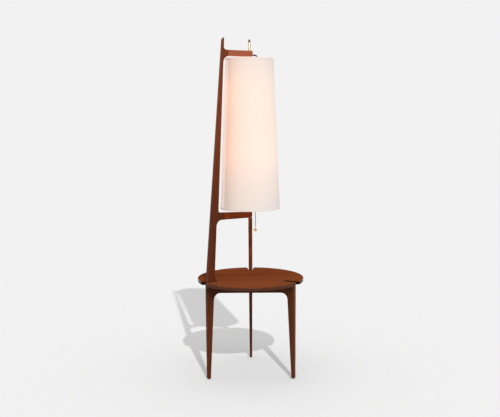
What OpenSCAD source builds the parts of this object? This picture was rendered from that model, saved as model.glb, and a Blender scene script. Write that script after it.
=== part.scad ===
// Floor lamp with a round table: three plank legs, one of which runs on up as a
// leaning post that holds the lamp on two arms.
// The origin is on the floor under the centre of the table. +Z is up, the front
// is -Y, and the tall post stands at the front left. Sizes are in millimetres.

/* [Table] */
// Diameter of the round top
top_d = 457; // [440:1:470]
// Height of the top's surface above the floor
top_h = 419; // [400:1:440]
// Thickness of the top
top_t = 14; // [12:1:18]
// Half width of a leg notch at its inner end
notch_root = 8.6; // [8.3:0.1:10]
// Half width of a leg notch near the rim
notch_mouth = 14; // [10:0.5:18]

/* [Legs] */
// Distance from the table's centre to the outer edge of a leg
leg_out = 215; // [205:1:220]
// Distance from the centre to the inner edge of a leg, under its knee
leg_in = 183; // [178:1:188]
// Distance from the centre to the inner edge of a leg, at the floor
foot_in = 200.5; // [190:0.5:204]
// Thickness of the planks at the table
plank_t = 16; // [15:0.5:16.5]
// Thickness of the strut behind the table
strut_t = 17; // [15:0.5:17.5]
// Thickness of a leg at the floor
foot_t = 11; // [9:0.5:16]
// Height of the rails under the top
rail_h = 38; // [34:1:46]
// Distance from the centre to the middle of each rail
rail_off = 75; // [70:1:80]
// Radius of the curve from a leg into its knee
knee_r = 26; // [16:1:34]

/* [Post and arms] */
// Height of the tall post
post_h = 1436; // [1425:1:1450]
// Distance from the lamp's axis to the outer edge of the post, near its top
post_top_out = 130.5; // [127:0.5:132]
// Thickness of the post at its top, and of the upper arm
post_top_t = 13; // [12:0.5:14]
// Height of the lower arm's underside
lower_arm_z = 679; // [660:1:690]
// Depth of the lower arm at the post
lower_arm_h = 30; // [26:1:34]
// Height of the upper arm's underside
upper_arm_z = 1359; // [1357:1:1362]
// Depth of the upper arm
upper_arm_h = 25; // [22:1:28]

/* [Shade] */
// Bottom diameter of the shade
shade_bottom_d = 254; // [240:1:260]
// Top diameter of the shade
shade_top_d = 202; // [190:1:206]
// Height of the shade's lower edge above the floor
shade_z = 718; // [714:1:730]
// Height of the shade
shade_h = 634; // [625:1:636]

/* [Lamp] */
// Height of the underside of the lamp cluster
cluster_z = 1046; // [1030:1:1060]
// Height of the lamp cluster
cluster_h = 50; // [44:1:56]
// Widest diameter of a bulb
bulb_d = 60; // [48:1:62]
// Length of the pull chain
chain_l = 395; // [340:1:420]
// Diameter of the ball on the pull chain
ball_d = 13; // [8:0.5:14]
// Diameter of the lamp lead
lead_d = 6; // [5:0.5:6.2]

/* [Hidden] */
$fn = 64;
EPS = 0.01;

// Colours
WALNUT = [0.42, 0.22, 0.12];
BRASS = [0.80, 0.62, 0.30];
STEEL = [0.70, 0.70, 0.72];
BLACK = [0.08, 0.08, 0.08];
LINEN = [0.97, 0.93, 0.88];

// Bearings of the three planks around the centre
POST_AZ = 210;
RIGHT_AZ = 330;
REAR_AZ = 90;

// Heights of the frame
table_under = top_h - top_t;
rail_z = table_under - rail_h;
glide_h = 2.5;
leg_top = top_h - 4;
flare_z = top_h + 17;

// The notch in the top, and what stands in it
notch_in = 163;
stand_in = 166;
knee_in = 116;

// Edges of the post, each a straight line from the table to the top
post_bend_z = 408;
post_shoulder_z = post_h - 12;
post_tip_in = 123;
post_in_mid = 157.9;
post_in_low = 165.8;
post_in_table = 178.6;
lower_arm_top = lower_arm_z + lower_arm_h;
upper_arm_top = upper_arm_z + upper_arm_h;

// Where each arm is butted on the post, and where it ends past the axis
lower_joint = 128;
upper_joint = 104;
lower_tip = -6;
upper_tip = -13;
lower_tip_h = 24;

// Dowels: radius, length and the gap that the glue fills
dowel_r = 4;
small_dowel_r = 3;
dowel_l = 36;
glue = 0.05;

// The foot of the strut on the rear leg, and its head under the lower arm
strut_foot = [184, 214];
strut_head = [-14, 6];
strut_dowel_foot = 197;
strut_dowel_head = -4;
strut_head_bite = 7;

// Screws through the rails into the top
screw_r = 2;
screw_head_r = 4;
screw_head_h = 2.6;
screw_pocket = 14;
screw_bite = 10;

// Glides and the nails that hold them
glide_r = 5;
nail_r = 1;
nail_top = 15;

// Oval inlet bush for the mains lead, in a slot in the back of the tall post's leg
inlet_z = 60;
inlet_half = 5;
inlet_r = 5;
inlet_flange = 1.5;
inlet_flange_t = 2;
inlet_depth = 8.5;
inlet_bore = 3.2;

// Threaded rod, its washers and the ring of the shade's spider
rod_r = 4.85;
rod_fit = 0.06;
rod_top = upper_arm_top + 12;
washer_r = 6.3;
washer_t = 2;
hub_gap = 0.2;
hub_t = 4;
hub_r = 11;
nut_h = 6;
nut_flats = 14;

// Lamp cluster: an oval box, with a socket on top and one below
cluster_r = 19;
cluster_left = -40;
cluster_right = 10;
cluster_wall = 1.6;
cap_t = 2.4;
cluster_top = cluster_z + cluster_h;
upper_lamp_x = -40;
lower_lamp_x = -14;
socket_r = 17;
socket_l = 45;
socket_wall = 0.8;
core_gap = 0.2;
bulb_cap_r = 13.2;
core_bore = bulb_cap_r + 0.3;
core_l = 34;
nipple_r = 4.85;
bulb_seat = 15;
bulb_cap_l = 26;
glass_t = 1;

// Pull switch
chain_x = 22;
nozzle_r = 4.5;
nozzle_l = 12;
barrel_r = 5;
barrel_l = 14;
pull_r = 1.6;
pull_fit = 0.06;
pull_travel = 12;
pull_end = cluster_z - nozzle_l - 4;
bead_d = 4;
bead_pitch = 4.8;
bead_neck = 0.7;
chain_gap = 0.3;
chain_top = pull_end - chain_gap;
ball_r = ball_d / 2;

// Shade shells
shade_r0 = shade_bottom_d / 2;
shade_r1 = shade_top_d / 2;
shade_top = shade_z + shade_h;
fabric_t = 0.8;
liner_t = 0.6;
hem_h = 9;
hem_t = 0.5;
wire_r = 1.8;
spider_r = 1.6;
wire_in = fabric_t + liner_t + wire_r + 0.05;
hub_z = shade_top - wire_r - 0.5 - hub_t / 2;

// Finial
finial_base_r = 6.4;
finial_top_r = 5.2;
finial_shoulder_z = upper_arm_top + 14;
finial_top_z = upper_arm_top + 34;
tip_r = 4.8;
tip_h = 13;

// Lead from the end of the upper arm down into the cluster, as distances from
// the axis towards LEAD_AZ and heights
LEAD_AZ = 30;
lead_z = upper_arm_z + lead_d / 2 + 4.6;
lead_in = 6.4;
bush_r = 3.9;
bush_l = 6;
lead_hole_out = 13.5;
LEAD_ROUTE = [
    [lead_in, lead_z], [11, lead_z], [17.5, lead_z], [24, lead_z - 0.3], [30, lead_z - 1.6],
    [35.5, lead_z - 4.4], [39.5, lead_z - 9], [41.4, lead_z - 15], [41.2, lead_z - 23],
    [38.8, lead_z - 33], [35, 1319], [30.6, 1303], [26.8, 1287], [23.6, 1271], [20.8, 1254], [18.5, 1235],
    [16.8, 1214], [15.4, 1190], [14.4, 1164], [13.8, 1138], [13.5, 1118],
    [13.5, 1106], [13.5, 1088]
];

// ---- Helpers ----

// Points of the corner b between a and c, turned on an arc of radius r
function corner(a, b, c, r, n) =
    let (
        u = (a - b) / norm(a - b),
        v = (c - b) / norm(c - b),
        half = acos(u * v) / 2,
        m = b + (u + v) / norm(u + v) * r / sin(half),
        p = b + u * r / tan(half) - m,
        q = b + v * r / tan(half) - m,
        turn = atan2(p.x * q.y - p.y * q.x, p * q)
    )
    r == 0 ? [b] : [for (i = [0:n]) let (t = turn * i / n)
        m + [p.x * cos(t) - p.y * sin(t), p.x * sin(t) + p.y * cos(t)]];

// Closed outline through points [x, y, corner radius]
function outline(pts, n = 8) =
    let (k = len(pts))
    [for (i = [0:k - 1]) let (a = pts[(i + k - 1) % k], b = pts[i], c = pts[(i + 1) % k])
        each corner([a.x, a.y], [b.x, b.y], [c.x, c.y], b.z, n)];

// Half the thickness of a plank at height z
function half_t(z) =
    z < rail_z ? lookup(z, [[0, foot_t / 2], [rail_z, plank_t / 2]])
    : lookup(z, [[top_h, plank_t / 2], [post_h, post_top_t / 2]]);

// Radius of the shade's outside at height z
function shade_r(z) = lookup(z, [[shade_z, shade_r0], [shade_top, shade_r1]]);

// A drawing in the upright plane through the axis at a bearing: x runs outwards
// from the axis and y is the height. Its thickness follows half_t.
module plank(az) {
    zs = [0, rail_z, top_h, post_h];
    rotate(az) intersection() {
        rotate([90, 0, 0]) linear_extrude(plank_t + 2, center = true) children();
        rotate([90, 0, 90]) translate([0, 0, -40]) linear_extrude(300)
            polygon(concat(
                [for (z = zs) [-half_t(z), z]],
                [for (i = [len(zs) - 1:-1:0]) [half_t(zs[i]), zs[i]]]
            ));
    }
}

// A drawing in the same plane with one thickness t
module board(az, t) {
    rotate(az) rotate([90, 0, 0]) linear_extrude(t, center = true) children();
}

// A round bar from a distance and height in the plane at a bearing, lying
// outwards for a length l
module level_bar(az, x, z, r, l) {
    rotate(az) translate([x, 0, z]) rotate([0, 90, 0]) cylinder(r = r, h = l);
}

// An upright slot with round ends, whose centres lie at y = -half and half
module slot(half, r) {
    for (y = [-half, half]) translate([0, y]) circle(r);
    translate([-r, -half]) square([2 * r, 2 * half]);
}

// ---- Wooden frame ----

// The knee of a leg, from the table's underside round to the floor
function knee_points() = [
    [stand_in, table_under, 0],
    [knee_in, table_under, 0],
    [knee_in, rail_z, 2],
    [leg_in - 1, rail_z, knee_r],
    [foot_in, glide_h, 1]
];

// Each leg is bored at its foot for the glide's nail, and at its knee for the
// rails' dowels
module leg_bores(az) {
    rotate(az) translate([(leg_out + foot_in) / 2, 0, 0]) cylinder(r = nail_r + glue, h = nail_top + 1);
    rail_dowel_set(glue);
}

// Places a drawing on the back face of the tall post's leg, where its inlet is
module at_inlet() {
    rotate(POST_AZ) translate([(leg_out + foot_in) / 2, 0, inlet_z]) rotate([90, 0, 0])
        translate([0, 0, half_t(inlet_z)]) children();
}

module tall_post() {
    shape = concat([
        [leg_out, glide_h, 1],
        [leg_out, post_bend_z, 160],
        [post_top_out, post_shoulder_z, 2],
        [post_tip_in, post_h, 1],
        [post_tip_in + 1.5, upper_arm_top, 12],
        [upper_joint, upper_arm_top, 0],
        [upper_joint, upper_arm_z, 0],
        [post_tip_in + 3.2, upper_arm_z, 28],
        [post_in_mid, lower_arm_top, 12],
        [lower_joint, lower_arm_top, 0],
        [lower_joint, lower_arm_z, 0],
        [post_in_low, lower_arm_z, 26],
        [post_in_table, flare_z, 30],
        [stand_in, top_h + 1, 8]
    ], knee_points());
    color(WALNUT) difference() {
        plank(POST_AZ) polygon(outline(shape));
        leg_bores(POST_AZ);
        arm_dowel_set(glue);
        at_inlet() translate([0, 0, -inlet_depth]) linear_extrude(20) slot(inlet_half, inlet_r + glue);
    }
}

module short_leg(az) {
    shape = concat([
        [leg_out, glide_h, 1],
        [leg_out, leg_top, 3],
        [stand_in, leg_top, 2]
    ], knee_points());
    color(WALNUT) difference() {
        plank(az) polygon(outline(shape));
        leg_bores(az);
    }
}

module right_leg() {
    short_leg(RIGHT_AZ);
}

module rear_leg() {
    difference() {
        short_leg(REAR_AZ);
        color(WALNUT) strut_dowel_set(glue);
    }
}

module rear_strut() {
    color(WALNUT) difference() {
        board(REAR_AZ, strut_t) polygon(outline([
            [strut_foot[0], leg_top, 0],
            [strut_foot[1], leg_top, 0],
            [strut_head[1], lower_arm_z, 0],
            [strut_head[0], lower_arm_z, 0]
        ]));
        strut_dowel_set(glue);
    }
}

module lower_arm() {
    t = 2 * half_t(lower_arm_z);
    color(WALNUT) difference() {
        board(POST_AZ, t) polygon(outline([
            [lower_joint, lower_arm_z, 0],
            [lower_joint, lower_arm_top, 0],
            [lower_tip, lower_arm_z + lower_tip_h, 2],
            [lower_tip, lower_arm_z + 6, 2],
            [lower_tip + 5, lower_arm_z, 1]
        ]));
        arm_dowel_set(glue);
        strut_dowel_set(glue);
    }
}

module upper_arm() {
    t = 2 * half_t(upper_arm_z);
    color(WALNUT) difference() {
        board(POST_AZ, t) polygon(outline([
            [upper_joint, upper_arm_z, 0],
            [upper_joint, upper_arm_top, 0],
            [upper_tip, upper_arm_top, 2],
            [upper_tip, upper_arm_z, 2]
        ]));
        arm_dowel_set(glue);
        translate([0, 0, upper_arm_z - 1]) cylinder(r = rod_r + glue, h = upper_arm_h + 2);
        level_bar(LEAD_AZ, lead_in - 0.5, lead_z, bush_r + glue, 20);
    }
}

// The top: a disc with an eased rim, and a notch at each plank
module tabletop() {
    rim = 2;
    r = top_d / 2;
    notch = outline([
        [notch_in, -notch_root, 4],
        [r - 9, -notch_mouth, 10],
        [r + 10, -notch_mouth - 18, 0],
        [r + 10, notch_mouth + 18, 0],
        [r - 9, notch_mouth, 10],
        [notch_in, notch_root, 4]
    ]);
    profile = outline([
        [0, table_under, 0],
        [r - 1, table_under, rim],
        [r, top_h, rim],
        [0, top_h, 0]
    ]);
    color(WALNUT) difference() {
        rotate_extrude($fn = 128) polygon(profile);
        for (az = [POST_AZ, RIGHT_AZ, REAR_AZ])
            rotate(az) translate([0, 0, table_under - 1]) linear_extrude(top_t + 2) polygon(notch);
        top_screw_set(glue);
    }
}

// A rail stands across the gap between two planks, its ends cut to their faces
module rail(az) {
    out = rail_off + plank_t / 2;
    in = rail_off - plank_t / 2;
    function half_len(y) = 2 * (y * cos(30) - plank_t / 2);
    color(WALNUT) difference() {
        rotate(az + 90) translate([0, 0, rail_z]) linear_extrude(rail_h) polygon([
            [-half_len(out), -out], [half_len(out), -out],
            [half_len(in), -in], [-half_len(in), -in]
        ]);
        rail_dowel_set(glue);
        top_screw_set(glue);
        rotate(az) translate([rail_off, 0, rail_z - 1])
            cylinder(r = screw_head_r + 0.5, h = screw_pocket + 1);
    }
}

module front_rail() {
    rail(270);
}

module right_rail() {
    rail(30);
}

module left_rail() {
    rail(150);
}

// ---- Dowels, screws and feet ----

// One dowel at each end of each rail, high at one end and low at the other so
// that two never meet inside a knee. They lie square to the plank's face.
module rail_dowel_set(gap = 0) {
    side = 13;
    for (az = [POST_AZ, RIGHT_AZ, REAR_AZ], s = [-1, 1])
        rotate(az) translate([(rail_off / cos(60)) - 14, 0, rail_z + rail_h / 2 + s * 9])
            rotate([s * -90, 0, 0]) translate([0, 0, 1.5 - gap])
                cylinder(r = small_dowel_r + gap, h = side + 2 * gap);
}

module rail_dowels() {
    color("tan") rail_dowel_set();
}

// Two dowels across each arm's butt joint
module arm_dowel_set(gap = 0) {
    l = dowel_l + 2 * gap;
    for (dz = [8, 21])
        level_bar(POST_AZ, lower_joint - l / 2, lower_arm_z + dz, dowel_r + gap, l);
    for (dz = [7, 18])
        level_bar(POST_AZ, upper_joint - l / 2 + 3, upper_arm_z + dz, small_dowel_r + gap, l - 6);
}

module arm_dowels() {
    color("tan") arm_dowel_set();
}

// One upright dowel at each end of the strut. The strut leans, so the upper one
// goes only a little way down into its head.
module strut_dowel_set(gap = 0) {
    half = 14;
    rotate(REAR_AZ) {
        translate([strut_dowel_foot, 0, leg_top - half - gap])
            cylinder(r = dowel_r + gap, h = 2 * (half + gap));
        translate([strut_dowel_head, 0, lower_arm_z - strut_head_bite - gap])
            cylinder(r = small_dowel_r + gap, h = strut_head_bite + half + 2 * gap);
    }
}

module strut_dowels() {
    color("tan") strut_dowel_set();
}

// One screw up through the middle of each rail into the top
module top_screw_set(gap = 0) {
    for (az = [30, 150, 270])
        rotate(az) translate([rail_off, 0, rail_z + screw_pocket - screw_head_h]) {
            cylinder(r = screw_head_r + gap, h = screw_head_h + gap);
            cylinder(r = screw_r + gap, h = table_under + screw_bite + gap
                - rail_z - screw_pocket + screw_head_h);
        }
}

module top_screws() {
    color(STEEL) difference() {
        top_screw_set();
        for (az = [30, 150, 270])
            rotate(az) translate([rail_off, 0, rail_z + screw_pocket - screw_head_h - EPS])
                for (turn = [0, 90])
                    rotate(turn) translate([-2.6, -0.5, 0]) cube([5.2, 1, 1.2]);
    }
}

// Glides nailed under the feet
module foot_glides() {
    color("dimgray") for (az = [POST_AZ, RIGHT_AZ, REAR_AZ])
        rotate(az) translate([(leg_out + foot_in) / 2, 0, 0]) {
            rotate_extrude() polygon([
                [0, 0], [glide_r - 0.8, 0], [glide_r, 0.8], [glide_r, glide_h], [0, glide_h]
            ]);
            cylinder(r = nail_r, h = nail_top);
        }
}

// Bush in the leg's back, where the mains lead goes in. Its flange stands on the
// face of the leg, which widens upwards, so it is lifted by that slope.
module cord_inlet() {
    slope = half_t(inlet_z + inlet_half + inlet_r + inlet_flange) - half_t(inlet_z);
    deep = inlet_depth - 0.5;
    color(BLACK) at_inlet() difference() {
        union() {
            translate([0, 0, -deep]) linear_extrude(deep + slope + 1) slot(inlet_half, inlet_r);
            translate([0, 0, slope]) linear_extrude(inlet_flange_t - 0.6)
                slot(inlet_half, inlet_r + inlet_flange);
            translate([0, 0, slope]) linear_extrude(inlet_flange_t)
                slot(inlet_half, inlet_r + inlet_flange - 0.6);
        }
        translate([0, 0, -deep - 1]) cylinder(r = inlet_bore, h = deep + slope + inlet_flange_t + 2);
    }
}

// ---- Lamp ----

// Bush in the end of the upper arm
module lead_bush() {
    start = -upper_tip - bush_l + 0.8;
    color(BLACK) rotate(LEAD_AZ) translate([start, 0, lead_z]) rotate([0, 90, 0]) difference() {
        cylinder(r = bush_r, h = bush_l);
        translate([0, 0, -1]) cylinder(r = lead_d / 2 + glue, h = bush_l + 2);
    }
}

// A tube of radius r along points p in the plane y = 0, with n sides
module tube_along(p, r, n) {
    k = len(p);
    function dir(i) = let (d = p[min(i + 1, k - 1)] - p[max(i - 1, 0)]) d / norm(d);
    rings = [for (i = [0:k - 1]) let (d = dir(i)) for (j = [0:n - 1]) let (a = 360 * j / n)
        [p[i].x - d.y * r * cos(a), r * sin(a), p[i].y + d.x * r * cos(a)]];
    sides = [for (i = [0:k - 2], j = [0:n - 1])
        let (a = i * n + j, b = i * n + (j + 1) % n) each [[a, b, a + n], [b, b + n, a + n]]];
    ends = [[for (j = [n - 1:-1:0]) j], [for (j = [0:n - 1]) (k - 1) * n + j]];
    polyhedron(rings, concat(sides, ends));
}

module lamp_lead() {
    color(BLACK) rotate(LEAD_AZ) tube_along(LEAD_ROUTE, lead_d / 2, 12);
}

module lamp_rod() {
    bottom = cluster_top + cap_t - 12;
    color(BRASS) translate([0, 0, bottom]) cylinder(r = rod_r, h = rod_top - bottom);
}

// A washer on each side of the upper arm
module rod_washers() {
    color(BRASS) for (z = [upper_arm_top, upper_arm_z - washer_t])
        translate([0, 0, z]) difference() {
            cylinder(r = washer_r, h = washer_t);
            translate([0, 0, -1]) cylinder(r = rod_r + glue, h = washer_t + 2);
        }
}

module hex_nut(h) {
    difference() {
        cylinder(r = nut_flats / 2 / cos(30), h = h, $fn = 6);
        translate([0, 0, -1]) cylinder(r = rod_r + glue, h = h + 2);
    }
}

// Nuts on the rod: a thin one under the arm's washer, one under the shade's spider,
// and one on each side of the cap
module rod_nuts() {
    top_nut_z = hub_z + hub_t + hub_gap;
    color(BRASS) {
        translate([0, 0, top_nut_z]) hex_nut(upper_arm_z - washer_t - top_nut_z);
        translate([0, 0, hub_z - hub_gap - nut_h]) hex_nut(nut_h);
        translate([0, 0, cluster_top + cap_t]) hex_nut(nut_h);
        translate([0, 0, cluster_top - nut_h]) hex_nut(nut_h);
    }
}

// Oval through the two ends of the cluster, grown by a distance
module oval(grow = 0) {
    r = cluster_r + grow;
    for (x = [cluster_left, cluster_right]) translate([x, 0]) circle(r);
    translate([cluster_left, -r]) square([cluster_right - cluster_left, 2 * r]);
}

module cluster_body() {
    color(BRASS) difference() {
        translate([0, 0, cluster_z]) linear_extrude(cluster_h) oval();
        translate([0, 0, cluster_z + cluster_wall]) linear_extrude(cluster_h) oval(-cluster_wall);
        translate([lower_lamp_x, 0, cluster_z - 1]) cylinder(r = nipple_r + glue, h = 4);
        translate([chain_x, 0, cluster_z - 1]) cylinder(r = nozzle_r - 1.2 + glue, h = 4);
    }
}

module cluster_cap() {
    color(BRASS) translate([0, 0, cluster_top]) difference() {
        linear_extrude(cap_t) oval(0.6);
        translate([0, 0, -1]) {
            cylinder(r = rod_r + glue, h = cap_t + 2);
            translate([upper_lamp_x, 0, 0]) cylinder(r = nipple_r + glue, h = cap_t + 2);
            rotate(LEAD_AZ) translate([lead_hole_out, 0, 0]) cylinder(r = lead_d / 2 + glue, h = cap_t + 2);
        }
    }
}

// Bell mouth that the chain's pull rod slides in
module switch_nozzle() {
    bore = pull_r + pull_fit;
    neck = nozzle_r - 1.2;
    color(BRASS) translate([chain_x, 0, cluster_z]) rotate_extrude() polygon([
        [bore, cluster_wall + barrel_l], [bore, -nozzle_l + 1.5], [bore + 0.8, -nozzle_l],
        [nozzle_r - 0.4, -nozzle_l], [nozzle_r, -nozzle_l + 2], [neck, -nozzle_l + 5],
        [neck, -1.5], [nozzle_r, -1], [nozzle_r, 0], [neck, 0], [neck, cluster_wall],
        [barrel_r, cluster_wall], [barrel_r, cluster_wall + barrel_l]
    ]);
}

// Places a lamp's own upright drawing on top of the cluster or under it
module upper_lamp() {
    translate([upper_lamp_x, 0, cluster_top + cap_t]) children();
}

module lower_lamp() {
    translate([lower_lamp_x, 0, cluster_z]) mirror([0, 0, 1]) children();
}

module socket_shell() {
    s = socket_wall;
    color(BRASS) rotate_extrude() polygon([
        [0, -8], [nipple_r, -8], [nipple_r, 0], [9, 0], [14, 3], [socket_r, 8],
        [socket_r, socket_l], [socket_r - s, socket_l], [socket_r - s, 8 + s],
        [14 - s, 3 + s], [9, s], [0, s]
    ]);
}

module socket_core() {
    r = socket_r - socket_wall - core_gap;
    color(BLACK) translate([0, 0, socket_l - core_l]) difference() {
        cylinder(r = r, h = core_l);
        translate([0, 0, 3]) cylinder(r = core_bore, h = core_l);
    }
}

module bulb_cap() {
    color(STEEL) translate([0, 0, bulb_seat]) rotate_extrude() polygon([
        [0, 0], [3.5, 0], [4.5, 1.2], [10, 3], [bulb_cap_r, 6], [bulb_cap_r, bulb_cap_l], [0, bulb_cap_l]
    ]);
}

// Pear-shaped side of the glass: a neck that curves out of the cap into a ball.
// The inside is the same curve, moved in by the glass's thickness t.
function bulb_side(t, n = 16) =
    let (neck = 12.6 - t, r = bulb_d / 2 - t, ball_z = 52, low = 50)
    concat(
        [[neck, 0], [neck + 0.4, 6], [neck + 2, 14], [neck + 6, 24]],
        [for (i = [0:n - 1]) let (a = -low + (90 + low) * i / n) [r * cos(a), ball_z + r * sin(a)]],
        [[0, ball_z + r]]
    );

module bulb_glass() {
    inner = bulb_side(glass_t);
    color("white", 0.8) translate([0, 0, bulb_seat + bulb_cap_l]) rotate_extrude() polygon(concat(
        bulb_side(0),
        [for (i = [len(inner) - 1:-1:0]) inner[i]]
    ));
}

module upper_socket_shell() {
    upper_lamp() socket_shell();
}

module upper_socket_core() {
    upper_lamp() socket_core();
}

module upper_bulb_cap() {
    upper_lamp() bulb_cap();
}

module upper_bulb_glass() {
    upper_lamp() bulb_glass();
}

module lower_socket_shell() {
    lower_lamp() socket_shell();
}

module lower_socket_core() {
    lower_lamp() socket_core();
}

module lower_bulb_cap() {
    lower_lamp() bulb_cap();
}

module lower_bulb_glass() {
    lower_lamp() bulb_glass();
}

// ---- Pull chain ----

module switch_pull() {
    stop_z = cluster_z + cluster_wall + barrel_l + pull_travel + 0.3;
    color(BRASS) translate([chain_x, 0, 0]) {
        translate([0, 0, pull_end]) cylinder(r = pull_r, h = stop_z - pull_end);
        translate([0, 0, stop_z]) cylinder(r = 4, h = 2);
    }
}

// A string of beads on a wire, turned as one profile
module pull_chain() {
    n = floor((chain_l - 2) / bead_pitch);
    steps = 6;
    color(BRASS) translate([chain_x, 0, chain_top]) rotate_extrude($fn = 24) polygon(concat(
        [[0, 0], [bead_neck, 0]],
        [for (i = [0:n - 1]) let (mid = -bead_pitch * (i + 0.5)) for (j = [0:steps])
            let (a = 65 - 130 * j / steps) [bead_d / 2 * cos(a), mid + bead_d / 2 * sin(a)]],
        [[bead_neck, -chain_l], [0, -chain_l]]
    ));
}

module chain_ball() {
    top = chain_top - chain_l;
    ball_mid = -2.5 - ball_r;
    color(BRASS) translate([chain_x, 0, top]) rotate_extrude() polygon(concat(
        [[0, 0], [2.2, 0], [2.4, -1.5], [1.6, -2.5]],
        [for (i = [0:13]) let (a = 75 - 165 * i / 14) [ball_r * cos(a), ball_mid + ball_r * sin(a)]],
        [[0, ball_mid - ball_r]]
    ));
}

// ---- Shade ----

// A tapered band of the shade from z0 to z1, lying from a distance a inside its
// outer face to a distance b inside it
module shade_band(z0, z1, a, b) {
    rotate_extrude($fn = 128) polygon([
        [shade_r(z0) - a, z0], [shade_r(z1) - a, z1], [shade_r(z1) - b, z1], [shade_r(z0) - b, z0]
    ]);
}

module shade_fabric() {
    color(LINEN) shade_band(shade_z, shade_top, 0, fabric_t);
}

module shade_liner() {
    color("white") shade_band(shade_z, shade_top, fabric_t, fabric_t + liner_t);
}

module shade_top_hem() {
    color(LINEN) shade_band(shade_top - hem_h, shade_top, -hem_t, 0);
}

module shade_bottom_hem() {
    color(LINEN) shade_band(shade_z, shade_z + hem_h, -hem_t, 0);
}

module ring(z) {
    translate([0, 0, z]) rotate_extrude($fn = 96)
        translate([shade_r(z + wire_r) - wire_in, 0]) circle(wire_r, $fn = 16);
}

// Top ring of the shade, with three spokes to the ring that turns on the rod
module shade_spider() {
    z = hub_z + hub_t / 2;
    reach = shade_r(z + wire_r) - wire_in - hub_r + 1;
    color(STEEL) difference() {
        union() {
            ring(z);
            translate([0, 0, hub_z]) cylinder(r = hub_r, h = hub_t);
            for (az = [POST_AZ, RIGHT_AZ, REAR_AZ])
                level_bar(az, hub_r - 1, z, spider_r, reach);
        }
        translate([0, 0, hub_z - 1]) cylinder(r = rod_r + rod_fit, h = hub_t + 2);
    }
}

module shade_bottom_ring() {
    color(STEEL) ring(shade_z + wire_r + 0.5);
}

// ---- Finial ----

module finial_body() {
    base = upper_arm_top + washer_t + hub_gap;
    bore = rod_r + rod_fit;
    bore_top = rod_top + 1;
    color(BRASS) rotate_extrude() polygon([
        [bore, base], [finial_base_r, base], [finial_base_r, base + 2],
        [finial_base_r - 0.5, base + 3], [finial_base_r - 0.3, finial_shoulder_z],
        [finial_top_r, finial_top_z], [0, finial_top_z], [0, bore_top], [bore, bore_top]
    ]);
}

module finial_tip() {
    color([0.35, 0.10, 0.07]) translate([0, 0, finial_top_z]) rotate_extrude() polygon([
        [0, 0], [tip_r - 0.6, 0], [tip_r, 2.5], [tip_r, 7.5],
        [tip_r - 0.5, 10], [tip_r - 1.6, 11.9], [tip_r - 3, 12.8], [0, tip_h]
    ]);
}

tall_post();
right_leg();
rear_leg();
rear_strut();
lower_arm();
upper_arm();
tabletop();
front_rail();
right_rail();
left_rail();
rail_dowels();
arm_dowels();
strut_dowels();
top_screws();
foot_glides();
cord_inlet();
lead_bush();
lamp_lead();
lamp_rod();
rod_washers();
rod_nuts();
cluster_body();
cluster_cap();
switch_nozzle();
upper_socket_shell();
upper_socket_core();
lower_socket_shell();
lower_socket_core();
upper_bulb_glass();
upper_bulb_cap();
lower_bulb_glass();
lower_bulb_cap();
switch_pull();
pull_chain();
chain_ball();
shade_fabric();
shade_liner();
shade_top_hem();
shade_bottom_hem();
shade_spider();
shade_bottom_ring();
finial_body();
finial_tip();
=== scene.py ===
"""Looks of a floor lamp with a round table, built around its packed frame.

Every piece is in metres in the frame's own space: the origin is on the floor under
the middle of the table, +Z is up and the front is -Y.
"""

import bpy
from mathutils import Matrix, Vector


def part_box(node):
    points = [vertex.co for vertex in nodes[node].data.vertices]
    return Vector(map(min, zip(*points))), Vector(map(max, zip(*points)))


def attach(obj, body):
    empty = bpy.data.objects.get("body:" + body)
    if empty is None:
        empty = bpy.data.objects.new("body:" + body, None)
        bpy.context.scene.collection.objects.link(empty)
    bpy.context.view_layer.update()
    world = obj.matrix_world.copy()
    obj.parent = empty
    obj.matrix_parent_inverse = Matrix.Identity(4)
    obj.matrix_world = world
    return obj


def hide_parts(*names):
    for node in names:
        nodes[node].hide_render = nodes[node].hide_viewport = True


bl_info = {
    "name": "Floor Lamp with Table",
    "version": (1, 0, 0),
    "blender": (4, 5, 0),
    "location": "3D View > Sidebar > Floor Lamp",
    "description": "Makes the pieces, finishes and stage of a floor lamp with a round table",
    "category": "Object",
}

from math import atan2, ceil, cos, hypot, pi, radians, sin

import bmesh
import bpy
from bpy.props import FloatProperty, FloatVectorProperty, IntProperty, PointerProperty
from mathutils import Matrix, Vector

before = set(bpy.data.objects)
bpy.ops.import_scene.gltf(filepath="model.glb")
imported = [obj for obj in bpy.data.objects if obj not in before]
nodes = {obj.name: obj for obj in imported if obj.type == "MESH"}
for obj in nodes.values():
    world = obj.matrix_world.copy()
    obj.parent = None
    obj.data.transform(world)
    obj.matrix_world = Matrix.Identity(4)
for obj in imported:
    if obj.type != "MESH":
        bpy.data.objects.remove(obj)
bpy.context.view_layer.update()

MM = 0.001
UP = Vector((0, 0, 1))
# Bearings of the three planks round the lamp's axis, and of the lamp lead
POST = radians(210)
RIGHT = radians(330)
REAR = radians(90)
LEAD = radians(30)

# The two lamp holders, and which way the bulb of each one points
SIDES = (("upper", 1), ("lower", -1))
# How far the post leans in over each metre of its height
POST_LEAN = 0.085

# Scale at which a wave texture has one band in a metre
BAND = 0.314
# Colours of the small pieces
DOWEL_WOOD = (0.42, 0.24, 0.11)
TIP_WOOD = (0.16, 0.022, 0.014)
GLIDE_PLASTIC = (0.03, 0.026, 0.023)
BUSH_RUBBER = (0.018, 0.018, 0.018)
LEAD_RUBBER = (0.010, 0.010, 0.011)
SOCKET_PLASTIC = (0.022, 0.018, 0.016)
# How the brass of a fitting differs from the main brass, in red, green and blue
AGED = (0.32, 0.27, 0.24)
BUFFED = (0.9, 0.9, 1.1)
NICKELLED = (0.85, 1.0, 1.8)
# Colour of the bulbs' light, painted on the wood as a glow
BULB_TINT = (1.0, 0.72, 0.45, 1)
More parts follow.
